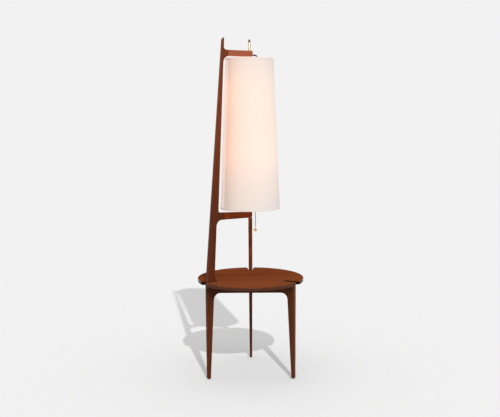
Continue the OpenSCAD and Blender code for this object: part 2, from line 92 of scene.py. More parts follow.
# (height, share) stops of painted light and shade on each board: painted shade just under the top, and on
# the post painted light that grows towards the shade and its top
POST_PAINTED_LIGHT = ((0.27, 1.0), (0.35, 0.68), (0.40, 0.68), (0.43, 1.0), (0.55, 0.85), (0.70, 0.85),
              (1.0, 1.15), (1.42, 1.7))
RIGHT_PAINTED_SHADE = ((0.27, 1.0), (0.35, 0.92), (0.42, 0.92))
REAR_PAINTED_SHADE = ((0.27, 1.0), (0.35, 0.75), (0.42, 0.75))
# A board's sharp edges shorter than this, such as a dowel hole's mouth, stay sharp
SMALL_EDGE = 25 * MM


def outwards(bearing):
    """The level direction from the lamp's axis at a bearing."""
    return Vector((cos(bearing), sin(bearing), 0))


def round_box(node):
    """A round CAD node's lowest and highest corners, its middle and its radius."""
    low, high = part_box(node)
    return low, high, (low + high) / 2, (high.x - low.x) / 2


def reach_at(node, height, within=0.2 * MM):
    """How far a CAD node reaches from the lamp's axis at a height."""
    return max(hypot(v.co.x, v.co.y) for v in nodes[node].data.vertices
               if abs(v.co.z - height) < within)


def cone(node):
    """A tapered CAD node's lowest and highest corners, and how far it reaches at each."""
    low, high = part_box(node)
    return low, high, reach_at(node, low.z), reach_at(node, high.z)


# ---- Sizes and colours ----


class LampWood(bpy.types.PropertyGroup):
    """Oiled wood of the boards and the round top"""

    edge: FloatProperty(
        name="Edge easing", description="Width that each board's edge is rounded over",
        default=1.3 * MM, min=0.2 * MM, max=1.7 * MM, unit="LENGTH")
    ring_gap: FloatProperty(
        name="Ring gap", description="Usual distance between two growth lines",
        default=7 * MM, min=2 * MM, max=20 * MM, unit="LENGTH")
    deep: FloatVectorProperty(
        name="Deep tone", description="Colour of the late wood of the legs and post",
        default=(0.055, 0.0126, 0.0042), subtype="COLOR", min=0, max=1)
    mid: FloatVectorProperty(
        name="Middle tone", description="Main colour of the legs and post",
        default=(0.125, 0.0290, 0.0095), subtype="COLOR", min=0, max=1)
    pale: FloatVectorProperty(
        name="Pale tone", description="Colour of the early wood of the legs and post",
        default=(0.190, 0.0490, 0.0155), subtype="COLOR", min=0, max=1)
    # Painted light: the round top is made paler than the boards, as it faces the light from above
    top_painted_light: FloatVectorProperty(
        name="Top's gain", description="How much paler the round top is, in red, green and blue",
        default=(1.76, 2.0, 2.1), min=1, max=3)


class LampShade(bpy.types.PropertyGroup):
    """Linen shade and its light"""

    cloth: FloatProperty(
        name="Cloth", description="Thickness of the linen",
        default=0.5 * MM, min=0.2 * MM, max=0.7 * MM, unit="LENGTH")
    lap: FloatProperty(
        name="Lap", description="How far the linen runs over its own start",
        default=radians(30), min=radians(5), max=radians(60), subtype="ANGLE")
    thread: FloatProperty(
        name="Thread pitch", description="Distance between two threads of the linen",
        default=1.1 * MM, min=0.4 * MM, max=3 * MM, unit="LENGTH")
    linen: FloatVectorProperty(
        name="Linen", description="Colour of the linen",
        default=(0.685, 0.652, 0.622), subtype="COLOR", min=0, max=1)
    glow: FloatVectorProperty(
        name="Near glow", description="Colour of the bulbs' light through the linen on their side",
        default=(1.0, 0.185, 0.0), subtype="COLOR", min=0, max=1)
    glow_far: FloatVectorProperty(
        name="Far glow", description="Colour of the bulbs' light through the linen across from them",
        default=(1.0, 0.62, 0.31), subtype="COLOR", min=0, max=1)
    glow_lap: FloatVectorProperty(
        name="Lap's glow", description="Colour of the bulbs' light through the double linen",
        default=(0.58, 0.215, 0.05), subtype="COLOR", min=0, max=1)
    glow_gain: FloatProperty(
        name="Glow's gain", description="Strength of the bulbs' light through the linen",
        default=0.0052, min=0, max=0.02)
    veil: FloatVectorProperty(
        name="Near veil", description="Light that the lining spreads over the linen on the bulbs' side",
        default=(0.150, 0.133, 0.088), subtype="COLOR", min=0, max=1)
    veil_far: FloatVectorProperty(
        name="Far veil", description="Light that the lining spreads over the linen across from the bulbs",
        default=(0.150, 0.131, 0.140), subtype="COLOR", min=0, max=1)
    # Painted light: the lap is made whiter and brighter than the single linen
    lap_painted_light: FloatVectorProperty(
        name="Lap's veil", description="Light that the lining spreads over the double linen",
        default=(0.350, 0.290, 0.285), subtype="COLOR", min=0, max=1)


class LampMetal(bpy.types.PropertyGroup):
    """Brass and steel fittings"""

    brass: FloatVectorProperty(
        name="Brass", description="Colour of the polished brass",
        default=(0.66, 0.44, 0.17), subtype="COLOR", min=0, max=1)
    steel: FloatVectorProperty(
        name="Steel", description="Colour of the plated steel",
        default=(0.55, 0.55, 0.56), subtype="COLOR", min=0, max=1)
    thread_pitch: FloatProperty(
        name="Thread pitch", description="Distance between two turns of the lamp rod's thread",
        default=0.94 * MM, min=0.5 * MM, max=1.5 * MM, unit="LENGTH")
    round_steps: IntProperty(
        name="Steps", description="Steps round a turned piece", default=48, min=12, max=128)


class LampStage(bpy.types.PropertyGroup):
    """Camera, floor and lights"""

    eye: FloatVectorProperty(
        name="Eye", description="Place of the camera", default=(-0.0009, -3.411, 1.102),
        subtype="TRANSLATION", unit="LENGTH")
    lens: FloatProperty(
        name="Lens", description="Focal length in millimetres", default=57.6, min=20, max=200)
    pitch: FloatProperty(
        name="Pitch", description="How far the camera looks down", default=0.1122,
        subtype="ANGLE")
    roll: FloatProperty(
        name="Roll", description="How far the camera leans", default=0.0055, subtype="ANGLE")
    pale: FloatProperty(
        name="Pale ground", description="Level of the floor and background",
        default=0.887, min=0, max=1, subtype="FACTOR")
    bounce: FloatProperty(
        name="Bounce", description="Part of the light that the floor sends back up",
        default=0.40, min=0, max=1, subtype="FACTOR")
    sky: FloatProperty(
        name="Sky", description="Level of the soft light from all round",
        default=0.70, min=0, max=2)
    gloss_front: FloatProperty(
        name="Soft boxes", description="Level of the soft boxes that metal mirrors, in front and behind",
        default=3.2, min=0, max=5)
    gloss_side: FloatProperty(
        name="Dark sides", description="Level that metal mirrors at the sides",
        default=0.35, min=0, max=2)
    sun: FloatProperty(
        name="Sun", description="Part of the floor's light that comes from the key light",
        default=0.30, min=0, max=1, subtype="FACTOR")
    sun_path: FloatVectorProperty(
        name="Sun's path", description="Direction that the key light travels",
        default=(-0.27, 1.21, -1.0), subtype="DIRECTION")
    sun_width: FloatProperty(
        name="Sun's width", description="Angle that the key light fills",
        default=radians(0.9), subtype="ANGLE")


SETTINGS = {
    "lamp_wood": LampWood,
    "lamp_shade": LampShade,
    "lamp_metal": LampMetal,
    "lamp_stage": LampStage,
}


# ---- Shader helpers ----


def add(tree, kind, sockets=None, **settings):
    """Add a shader node, set it up, and fill its sockets with values or links."""
    made = tree.nodes.new("ShaderNode" + kind)
    for name, value in settings.items():
        setattr(made, name, value)
    for socket, value in (sockets or {}).items():
        if isinstance(value, bpy.types.NodeSocket):
            tree.links.new(value, made.inputs[socket])
        else:
            made.inputs[socket].default_value = value
    return made


def maths(tree, operation, a, b=0.0, c=0.0):
    """A sum, product or other operation on numbers."""
    return add(tree, "Math", {0: a, 1: b, 2: c}, operation=operation).outputs[0]


def spread(tree, value, low, high, start=0.0, end=1.0):
    """Map a value that runs from start to end onto low to high, and stop at both."""
    sockets = {"Value": value, "From Min": start, "From Max": end, "To Min": low, "To Max": high}
    return add(tree, "MapRange", sockets).outputs[0]


def mix(tree, share, a, b, blend="MIX"):
    """Mix two colours."""
    sockets = {0: share, 6: a, 7: b}
    return add(tree, "Mix", sockets, data_type="RGBA", blend_type=blend).outputs[2]


def tinted(tree, colour, tint):
    """A colour multiplied by another one."""
    return mix(tree, 1.0, colour, tint, "MULTIPLY")


def shades(tree, value, *stops):
    """A colour ramp of (place, colour) stops."""
    made = add(tree, "ValToRGB", {0: value})
    elements = made.color_ramp.elements
    while len(elements) < len(stops):
        elements.new(0.5)
    for element, (place, colour) in zip(elements, stops):
        element.position = place
        element.color = (*colour, 1)
    return made.outputs[0]


def noise(tree, place, scale, detail=3.0, roughness=0.5):
    """A cloudy pattern, in features a metre."""
    sockets = {"Vector": place, "Scale": scale, "Detail": detail, "Roughness": roughness}
    return add(tree, "TexNoise", sockets).outputs[0]


def stretched(tree, place, scale, location=(0, 0, 0)):
    """A place with each direction drawn out or packed, so that a pattern on it is too."""
    return add(tree, "Mapping", {0: place, "Location": location, "Scale": scale}).outputs[0]


def bump(tree, height, distance, strength=1.0):
    """A surface's fine relief."""
    return add(tree, "Bump", {"Height": height, "Distance": distance, "Strength": strength}).outputs[0]


def object_place(tree):
    """The place of a point of the surface in the frame."""
    return add(tree, "TexCoord").outputs["Object"]


def distance(tree, place, point):
    """How far a place is from a fixed point."""
    return add(tree, "VectorMath", {0: place, 1: point}, operation="DISTANCE").outputs["Value"]


def new_finish(name):
    """A material with one Principled shader: (material, its tree, that shader)."""
    material = bpy.data.materials.new(name)
    material.use_nodes = True
    tree = material.node_tree
    surface = tree.nodes["Principled BSDF"]
    return material, tree, surface


def fill(tree, surface, **values):
    """Fill the shader's sockets, each named with _ for a space."""
    for name, value in values.items():
        socket = surface.inputs[name.replace("_", " ")]
        if isinstance(value, bpy.types.NodeSocket):
            tree.links.new(value, socket)
        else:
            socket.default_value = value


def times(colour, gain):
    """A colour made paler or darker, by one gain or by one for each channel."""
    gains = gain if hasattr(gain, "__len__") else (gain,) * 3
    return tuple(min(c * g, 1) for c, g in zip(colour, gains))


def solid(colour, gain=1.0):
    """A colour made paler or darker, as a socket takes it."""
    return (*times(colour, gain), 1)


# ---- Finishes ----


def walnut(name, along, across, heart, gain=1.0, figure=1.0, gloss=1.0, lit=0.0, painted_light=()):
    """Oiled wood whose grain runs along one direction. heart is the place of the tree's
    middle beside the board, (across it, through it), in metres. figure is how strongly the
    growth lines show. gain makes the wood paler or darker, and on most boards it also holds
    painted light and shade. lit is how much of the bulbs' light is painted on the board as a
    glow, and the (height, share) stops paint light and shade along its height."""
    wood = bpy.context.scene.lamp_wood
    material, tree, surface = new_finish(name)
    along = along.normalized()
    across = (across - across.project(along)).normalized()
    turn = Matrix((across, along.cross(across), along)).to_euler()
    place = object_place(tree)
    board = add(tree, "Mapping", {0: place, "Rotation": turn, "Location": (*heart, 0)}).outputs[0]
    drawn = stretched(tree, board, (1, 1, 0.05))
    wander = noise(tree, drawn, 9, 2.0)
    rings = add(tree, "TexWave", {
        "Vector": drawn, "Scale": BAND / wood.ring_gap, "Distortion": 5.0, "Detail": 3.0,
        "Detail Scale": 0.7, "Detail Roughness": 0.55, "Phase Offset": maths(tree, "MULTIPLY", wander, 14.0),
    }, wave_type="RINGS", rings_direction="Z", wave_profile="SIN").outputs[1]
    fibre = noise(tree, stretched(tree, board, (1, 1, 0.018)), 620, 4.0, 0.6)
    streak = noise(tree, stretched(tree, board, (1, 1, 0.03), (3, 1, 7)), 55, 3.0, 0.55)
    pores = noise(tree, stretched(tree, board, (1, 1, 0.07), (5, 2, 4)), 1500, 2.0, 0.5)
    cloud = noise(tree, stretched(tree, board, (1, 1, 0.4), (1, 8, 2)), 6, 2.0)
    mid = times(wood.mid, gain)
    deep, pale = (tuple(m + (c - m) * figure for m, c in zip(mid, times(tone, gain)))
                  for tone in (wood.deep, wood.pale))
    lines = maths(tree, "MULTIPLY_ADD", rings, 0.55, maths(tree, "MULTIPLY", streak, 0.45))
    colour = shades(tree, lines, (0.16, deep), (0.44, mid), (0.60, mid), (0.84, pale))
    colour = tinted(tree, colour, shades(tree, fibre, (0.30, (0.74,) * 3), (0.62, (1.06,) * 3)))
    colour = tinted(tree, colour, shades(tree, cloud, (0.30, (0.86, 0.82, 0.80)), (0.70, (1.10,) * 3)))
    # Painted light and shade along the height: darker under the top, paler towards the shade's light
    if painted_light:
        top = painted_light[-1][0]
        level = maths(tree, "MULTIPLY", add(tree, "SeparateXYZ", {0: place}).outputs[2], 1 / top)
        stops = ((height / top, (share,) * 3) for height, share in painted_light)
        colour = tinted(tree, colour, shades(tree, level, *stops))
    pit = spread(tree, pores, 0.0, 1.0, 0.60, 0.72)
    colour = mix(tree, maths(tree, "MULTIPLY", pit, 0.45), colour, solid(deep, 0.5))
    # Eased edges are made paler along streaks: partly wear, partly a painted highlight
    edge = add(tree, "Attribute", attribute_name="eased").outputs["Fac"]
    wear_and_painted_highlight = maths(tree, "MULTIPLY", edge, spread(tree, streak, 0.05, 0.75, 0.35, 0.65))
    colour = mix(tree, wear_and_painted_highlight, colour, solid(pale, 1.2))
    relief = maths(tree, "SUBTRACT", maths(tree, "MULTIPLY", fibre, 0.5), pit)
    rough = maths(tree, "MULTIPLY_ADD", fibre, 0.16, maths(tree, "MULTIPLY_ADD", cloud, 0.10, 0.32))
    fill(tree, surface, Base_Color=colour, Roughness=rough, Normal=bump(tree, relief, 0.12 * MM, 0.5),
         Specular_IOR_Level=0.05 * gloss, Coat_Weight=0.05 * gloss, Coat_Roughness=0.25)
    # Painted glow: the bulbs' light on the board is painted as emission, strongest on faces that look down
    if lit:
        facing = add(tree, "SeparateXYZ", {0: add(tree, "TexCoord").outputs["Normal"]}).outputs[2]
        share = spread(tree, facing, lit, lit * 0.4, -1, 0)
        light = maths(tree, "MULTIPLY", bulb_light(tree, place), share)
        fill(tree, surface, Emission_Color=tinted(tree, colour, BULB_TINT), Emission_Strength=light)
    return material


def plain_wood(name, colour, gloss):
    """Close-grained turned wood, such as a dowel or the finial's tip."""
    material, tree, surface = new_finish(name)
    place = object_place(tree)
    grain = noise(tree, stretched(tree, place, (1, 1, 0.05)), 700, 4.0, 0.6)
    cloud = noise(tree, place, 90, 2.0)
    tone = mix(tree, grain, solid(colour, 0.62), solid(colour, 1.25))
    tone = mix(tree, maths(tree, "MULTIPLY", cloud, 0.35), tone, solid(colour, 0.5))
    rough = spread(tree, grain, 0.55 - 0.3 * gloss, 0.7 - 0.3 * gloss)
    fill(tree, surface, Base_Color=tone, Roughness=rough, Normal=bump(tree, grain, 0.05 * MM, 0.4),
         Specular_IOR_Level=0.2, Coat_Weight=0.6 * gloss, Coat_Roughness=0.1)
    return material


def metal(name, colour, roughness, tarnish=0.25, drawn=(1, 1, 1)):
    """Polished or plated metal with fine rubbing marks and a little tarnish."""
    material, tree, surface = new_finish(name)
    place = object_place(tree)
    marks = noise(tree, stretched(tree, place, drawn), 1400, 3.0, 0.65)
    stain = noise(tree, place, 60, 4.0, 0.6)
    share = maths(tree, "MULTIPLY", spread(tree, stain, 0, 1, 0.42, 0.72), tarnish)
    tone = mix(tree, share, solid(colour), solid(colour, 0.55))
    tone = mix(tree, maths(tree, "MULTIPLY", marks, 0.12), tone, solid(colour, 1.15))
    rough = maths(tree, "MULTIPLY_ADD", marks, 0.10, spread(tree, stain, roughness - 0.03, roughness + 0.12))
    fill(tree, surface, Base_Color=tone, Metallic=1.0, Roughness=rough,
         Normal=bump(tree, marks, 0.02 * MM, 0.35))
    return material


def moulded(name, colour, roughness, grain=900, shine=0.35):
    """Moulded rubber or plastic with a fine matt skin."""
    material, tree, surface = new_finish(name)
    place = object_place(tree)
    skin = noise(tree, place, grain, 3.0, 0.6)
    cloud = noise(tree, place, 45, 3.0)
    tone = mix(tree, cloud, solid(colour, 0.75), solid(colour, 1.3))
    rough = spread(tree, cloud, roughness - 0.06, roughness + 0.08, 0.3, 0.7)
    fill(tree, surface, Base_Color=tone, Roughness=rough, Normal=bump(tree, skin, 0.04 * MM, 0.4),
         Specular_IOR_Level=shine)
    return material


def bulb_centres():
    """The middle of each bulb's ball, from its glass."""
    for side, up in SIDES:
        low, high, middle, ball = round_box(side + "_bulb_glass")
        middle.z = high.z - ball if up > 0 else low.z + ball
        yield middle


def bulb_light(tree, place):
    """How strongly the two bulbs light a place."""
    gain = bpy.context.scene.lamp_shade.glow_gain
    softness = 0.006
    total = 0.0
    for centre in bulb_centres():
        away = distance(tree, place, centre)
        near = maths(tree, "DIVIDE", gain, maths(tree, "MULTIPLY_ADD", away, away, softness))
        total = maths(tree, "ADD", near, total)
    return total


def linen():
    """Woven linen, lit through from inside. Its pattern follows the cloth's own flat cut.
    Where it lies double, painted light makes it whiter and more even."""
    shade = bpy.context.scene.lamp_shade
    material, tree, surface = new_finish("linen_weave")
    flat = add(tree, "UVMap", uv_map="cut").outputs[0]
    place = object_place(tree)
    threads = {"Vector": flat, "Scale": BAND / shade.thread, "Distortion": 0.6, "Detail Scale": 2.0}
    warp, weft = (add(tree, "TexWave", threads, bands_direction=way).outputs[1] for way in "XY")
    slubs = (noise(tree, stretched(tree, flat, way), 420, 3.0, 0.6)
             for way in ((1, 0.04, 1), (0.04, 1, 1)))
    slub = maths(tree, "MULTIPLY", maths(tree, "ADD", *slubs), 0.5)
    weave = maths(tree, "MULTIPLY", warp, weft)
    tone = mix(tree, spread(tree, slub, 0, 1, 0.35, 0.65), solid(shade.linen, 0.955), solid(shade.linen))
    tone = mix(tree, maths(tree, "MULTIPLY", weave, 0.25), tone, solid(shade.linen, 0.93))
    double = add(tree, "Attribute", attribute_name="double").outputs["Fac"]
    across = add(tree, "SeparateXYZ", {0: place}).outputs[0]
    far = spread(tree, across, 0, 1, -0.11, 0.11)
    glow = mix(tree, far, solid(shade.glow), solid(shade.glow_far))
    glow = mix(tree, double, glow, solid(shade.glow_lap))
    veil = mix(tree, far, solid(shade.veil), solid(shade.veil_far))
    # Painted light makes the double linen whiter and brighter
    veil = mix(tree, double, veil, solid(shade.lap_painted_light))
    light = maths(tree, "MULTIPLY", bulb_light(tree, place), spread(tree, slub, 0.96, 1.04, 0.35, 0.65))
    through = add(tree, "VectorMath", {0: glow, "Scale": light}, operation="SCALE").outputs[0]
    through = add(tree, "VectorMath", {0: through, 1: veil}, operation="ADD").outputs[0]
    fill(tree, surface, Base_Color=tone, Roughness=0.92, Specular_IOR_Level=0.1,
         Normal=bump(tree, maths(tree, "ADD", weave, slub), 0.12 * MM, 0.35),
         Emission_Color=through, Emission_Strength=1.0)
    return material


def lining():
    """Smooth white lining inside the linen, lit by the bulbs."""
    material, tree, surface = new_finish("white_lining")
    place = object_place(tree)
    cloud = noise(tree, place, 40, 3.0)
    tone = mix(tree, cloud, (0.80, 0.77, 0.72, 1), (0.88, 0.86, 0.82, 1))
    fill(tree, surface, Base_Color=tone, Roughness=spread(tree, cloud, 0.40, 0.55),
         Normal=bump(tree, noise(tree, place, 500, 2.0), 0.05 * MM, 0.3), Specular_IOR_Level=0.3)
    return material


def frosted_glass():
    """Frosted bulb glass, brightest round its ball."""
    material, tree, surface = new_finish("bulb_frost")
    place = object_place(tree)
    mist = noise(tree, place, 130, 3.0)
    tone = mix(tree, mist, (0.90, 0.88, 0.84, 1), (0.97, 0.96, 0.93, 1))
    away = maths(tree, "MINIMUM", *(distance(tree, place, centre) for centre in bulb_centres()))
    fill(tree, surface, Base_Color=tone, Roughness=spread(tree, mist, 0.45, 0.6),
         Emission_Color=(1.0, 0.72, 0.44, 1), Emission_Strength=spread(tree, away, 6.0, 1.5, 0.028, 0.06))
    return material


# ---- Mesh helpers ----


def soften(bm, width, segments=2, sharpest=35, skip=lambda edge: False, shortest=0.0):
    """Round over a mesh's sharp edges. Edges that skip() names, and closed groups of them
    that are shorter than shortest, such as the mouth of a small bore, stay as they are."""
    sharp = {e for e in bm.edges
             if len(e.link_faces) == 2 and e.calc_face_angle(0) > radians(sharpest)}
    chosen = []
    while sharp:
        group = [sharp.pop()]
        for edge in group:
            for v in edge.verts:
                joined = [e for e in v.link_edges if e in sharp]
                sharp.difference_update(joined)
                group += joined
        points = [v.co for e in group for v in e.verts]
        size = Vector(max(p[i] for p in points) - min(p[i] for p in points) for i in range(3))
        if size.length >= shortest:
            chosen += [e for e in group if not skip(e)]
    made = bmesh.ops.bevel(
        bm, geom=chosen, offset=width, offset_type="OFFSET", segments=segments,
        profile=0.5, affect="EDGES", clamp_overlap=True, material=-1)
    return made["faces"]


def in_scene(name, data):
    """An object of a mesh, line, camera or light, put into the scene."""
    made = bpy.data.objects.new(name, data)
    bpy.context.scene.collection.objects.link(made)
    return made


def place_piece(name, bm, finish, body, replaced=(), smooth=32, level=False, wall=0.0):
    """Make a bmesh a piece of the lamp that rides on a body and stands for CAD nodes.
    wall is the thickness that a single skin is given."""
    mesh = bpy.data.meshes.new(name)
    bm.to_mesh(mesh)
    bm.free()
    mesh.materials.append(finish)
    mesh.shade_smooth()
    mesh.set_sharp_from_angle(angle=radians(smooth))
    piece = in_scene(name, mesh)
    if wall:
        thick = piece.modifiers.new("Wall", "SOLIDIFY")
        thick.thickness = wall
        thick.offset = 0
    if level or wall:
        even = piece.modifiers.new("Even shading", "WEIGHTED_NORMAL")
        even.keep_sharp = True
    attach(piece, body)
    if replaced:
        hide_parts(*replaced)
    return piece


def copy_of(*names):
    """CAD nodes copied into one bmesh, with their triangles made whole again."""
    bm = bmesh.new()
    for name in names:
        bm.from_mesh(nodes[name].data)
    bmesh.ops.remove_doubles(bm, verts=bm.verts, dist=0.004 * MM)
    bmesh.ops.dissolve_limit(bm, angle_limit=radians(0.1), verts=bm.verts, edges=bm.edges)
    return bm


def spin(bm, profile, steps, centre=(0, 0), closed=False):
    """Sweep a profile of (radius, height) points once round an upright line."""
    middle = Vector((*centre, 0))
    points = [bm.verts.new(middle + Vector((r, 0, z))) for r, z in profile]
    ends = points[1:] + points[:1] if closed else points[1:]
    edges = [bm.edges.new(pair) for pair in zip(points, ends)]
    bmesh.ops.spin(bm, geom=points + edges, cent=middle, axis=UP, angle=2 * pi,
                   steps=steps, use_merge=True, use_duplicate=False)


def turned(bm, profile, steps, centre=(0, 0), edge=0.0, segments=2, sharpest=30):
    """Turn a solid from a profile. One that starts and ends on the line closes itself,
    and any other one is joined end to end."""
    part = bmesh.new()
    spin(part, profile, steps, centre, profile[0][0] > 0 or profile[-1][0] > 0)
    bmesh.ops.remove_doubles(part, verts=part.verts, dist=0.002 * MM)
    bmesh.ops.recalc_face_normals(part, faces=part.faces)
    if edge:
        soften(part, edge, segments, sharpest)
    add_part(bm, part)


def eased_piece(name, node, finish, body, width, segments=2, sharpest=40, smooth=32):
    """A CAD node with its sharp edges rounded over, as a piece."""
    bm = copy_of(node)
    soften(bm, width, segments, sharpest)
    return place_piece(name, bm, finish, body, [node], smooth)


def turned_piece(name, node, outline, finish, body, steps, centre=(0, 0), edge=0.0, smooth=32):
    """A turned profile as a piece that stands for a CAD node."""
    bm = bmesh.new()
    turned(bm, outline, steps, centre, edge)
    return place_piece(name, bm, finish, body, [node], smooth)


def add_part(bm, part):
    """Put one bmesh into another."""
    carrier = bpy.data.meshes.new("part")
    part.to_mesh(carrier)
    part.free()
    bm.from_mesh(carrier)
    bpy.data.meshes.remove(carrier)


def arc(centre, radius, start, end, steps):
    """Points (radius, height) on an arc round a centre, from one angle to another."""
    turns = [start + (end - start) * i / steps for i in range(steps + 1)]
    return [(centre[0] + radius * cos(t), centre[1] + radius * sin(t)) for t in turns]


def stood(profile, low, high, up):
    """A profile's points set on a box's foot, or hung from its head where up is -1."""
    base = low.z if up > 0 else high.z
    return [(r, base + up * z) for r, z in profile]


def threaded(radius, start, end, depth, pitch):
    """A profile's stretch with a thread of a depth and pitch, from one height to another."""
    turns = max(1, round(abs(end - start) / pitch))
    step = (end - start) / turns
    points = []
    for i in range(turns):
        points += [(radius - depth, start + step * i), (radius, start + step * (i + 0.35)),
                   (radius, start + step * (i + 0.65))]
    return points + [(radius - depth, end)]


def rod_between(bm, start, end, radius, sides=16):
    """A round bar from one point to another."""
    span = end - start
    turn = span.to_track_quat("Z", "Y").to_matrix().to_4x4()
    place = Matrix.Translation((start + end) / 2) @ turn
    bmesh.ops.create_cone(bm, cap_ends=True, segments=sides, radius1=radius, radius2=radius,
                          depth=span.length, matrix=place)


def repaint(node, finish):
    """Give a CAD node that stays in view its finish."""
    piece = nodes[node]
    piece.data.materials.clear()
    piece.data.materials.append(finish)
    piece.data.shade_smooth()
    piece.data.set_sharp_from_angle(angle=radians(32))


# ---- Wooden pieces ----


def board(node, finish, butt=lambda face: False):
    """A CAD board with its edges eased, but for the faces that butt() names, which are
    glued to another board."""
    bm = copy_of(node)
    eased = bm.faces.layers.float.new("eased")

    def glued(edge):
        return any(butt(face) for face in edge.link_faces)

    for face in soften(bm, bpy.context.scene.lamp_wood.edge, 3, 35, glued, SMALL_EDGE):
        face[eased] = 1.0
    return place_piece(node + "_board", bm, finish, "frame", [node], level=True)


class LAMP_OT_post(bpy.types.Operator):
    """Make the leaning post, which is also the front left leg"""

    bl_idname = "lamp.post"
    bl_label = "Post"

    def execute(self, context):
        out = outwards(POST)
        lean = (out * -POST_LEAN + UP).normalized()
        # The post gets a painted glow from the shade, and painted light and shade along its height
        finish = walnut("walnut_post", lean, out, (0.07, 0.11), lit=2.5, painted_light=POST_PAINTED_LIGHT)
        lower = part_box("lower_arm")
        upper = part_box("upper_arm")

        def butt(face):
            middle = face.calc_center_median()
            on_arm = any(low.z - MM < middle.z < high.z + MM for low, high in (lower, upper))
            return on_arm and face.normal.dot(out) < -0.99

        board("tall_post", finish, butt)
        return {"FINISHED"}


class LAMP_OT_legs(bpy.types.Operator):
    """Make the right and rear legs"""

    bl_idname = "lamp.legs"
    bl_label = "Legs"

    def execute(self, context):
        # Each leg is painted darker just under the top, where the top shades it
        for node, bearing, heart, gain, painted_light in (
                ("right_leg", RIGHT, (0.16, -0.05), (1.1, 1.3, 1.35), RIGHT_PAINTED_SHADE),
                ("rear_leg", REAR, (-0.05, 0.09), 1.0, REAR_PAINTED_SHADE)):
            board(node, walnut("walnut_" + node, UP, outwards(bearing), heart, gain, painted_light=painted_light))
        return {"FINISHED"}


class LAMP_OT_arms(bpy.types.Operator):
    """Make the two arms of the post and the strut that holds up the lower one"""

    bl_idname = "lamp.arms"
    bl_label = "Arms and Strut"

    def execute(self, context):
        out = outwards(POST)

        def on_post(face):
            return face.normal.dot(out) > 0.99

        # Painted light: the lower arm is made redder for the glow under the shade, and the upper arm paler
        # where light leaves the shade's top; both also get a painted glow
        for node, heart, gain, gloss, lit in (
                ("lower_arm", (0.06, 0.02), (1.5, 1.2, 0.8), 1, 9),
                ("upper_arm", (-0.04, 0.03), (1.75, 2.1, 2.8), 6, 14)):
            board(node, walnut("walnut_" + node, out, UP, heart, gain, 0.7, gloss, lit), on_post)
        low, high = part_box("rear_strut")
        lean = Vector((0, low.y - high.y, high.z - low.z))
        # Painted light: the strut is made several times paler than the other boards, for the light that
        # falls on it
        finish = walnut("walnut_strut", lean, outwards(REAR), (0.05, 0.06), (2.9, 3.7, 4.2), 0.5)
        board("rear_strut", finish, lambda face: abs(face.normal.z) > 0.99)
        return {"FINISHED"}


class LAMP_OT_rails(bpy.types.Operator):
    """Make the three rails that join the legs under the top"""

    bl_idname = "lamp.rails"
    bl_label = "Rails"

    def execute(self, context):
        for node, bearing in (("front_rail", 270), ("right_rail", 30), ("left_rail", 150)):
            out = outwards(radians(bearing))
            # Painted shade: the rails are made darker, as they sit in the top's shade
            finish = walnut("walnut_" + node, out.cross(UP), UP, (0.03, 0.12), 0.75)
            board(node, finish, lambda f: abs(f.normal.z) < 0.5 and abs(f.normal.dot(out)) < 0.9)
        return {"FINISHED"}


class LAMP_OT_tabletop(bpy.types.Operator):
    """Make the round top with its notches"""

    bl_idname = "lamp.tabletop"
    bl_label = "Tabletop"

    def execute(self, context):
        wood = context.scene.lamp_wood
        bm = copy_of("tabletop")
        eased = bm.faces.layers.float.new("eased")
        for face in soften(bm, 0.8 * MM, 2, 50, shortest=SMALL_EDGE):
            face[eased] = 0.6
        grain = Vector((1, 0.05, 0))
        heart = (0.035, 0.06)
        # Painted light and shade: the top is made paler as it faces the light, the rim and underside darker
        # and greyer for shade and reflection, and the notch walls near black for the shade in them
        surface = walnut("walnut_top_painted_light", grain, UP, heart, wood.top_painted_light, 0.35, 0.0)
        rim_painted_shade_and_sheen = walnut("walnut_rim_painted_shade_and_sheen", grain, UP, heart, (0.75, 0.95, 1.2), gloss=2.0)
        notch_painted_shade = walnut("walnut_notch_painted_shade", grain, UP, heart, 0.22, gloss=0.0)
        for face in bm.faces:
            away = face.calc_center_median()
            away.z = 0
            under_or_rim = abs(face.normal.z) > 0.5 or face.normal.dot(away.normalized()) > 0.9
            face.material_index = 0 if face.normal.z > 0.9 else 1 if under_or_rim else 2
        piece = place_piece("tabletop_board", bm, surface, "frame", ["tabletop"], level=True)
        piece.data.materials.append(rim_painted_shade_and_sheen)
        piece.data.materials.append(notch_painted_shade)
        return {"FINISHED"}


# ---- Fittings ----


class LAMP_OT_fixings(bpy.types.Operator):
    """Finish the dowels, screws and glides"""

    bl_idname = "lamp.fixings"
    bl_label = "Dowels, Screws and Glides"

    def execute(self, context):
        dowel = plain_wood("dowel_wood", DOWEL_WOOD, 0.0)
        for node in ("rail_dowels", "arm_dowels", "strut_dowels"):
            repaint(node, dowel)
        zinc = metal("screw_steel", context.scene.lamp_metal.steel, 0.34)
        repaint("top_screws", zinc)
        plastic = moulded("glide_plastic", GLIDE_PLASTIC, 0.5)
        eased_piece("foot_glide_set", "foot_glides", plastic, "frame", 0.3 * MM, sharpest=30)
        return {"FINISHED"}


LEAD_RADIUS = 3 * MM
# The lamp lead's line, as distances from the axis and heights, in metres
LEAD_ROUTE = [
    (0.0064, 1.3666), (0.0110, 1.3666), (0.0175, 1.3666), (0.0240, 1.3663), (0.0300, 1.3650),
    (0.0355, 1.3622), (0.0395, 1.3576), (0.0414, 1.3516), (0.0412, 1.3436), (0.0388, 1.3336),
    (0.0350, 1.3190), (0.0306, 1.3030), (0.0268, 1.2870), (0.0236, 1.2710), (0.0208, 1.2540),
    (0.0185, 1.2350), (0.0168, 1.2140), (0.0154, 1.1900), (0.0144, 1.1640), (0.0138, 1.1380),
    (0.0135, 1.1180), (0.0135, 1.1060), (0.0135, 1.0880),
]


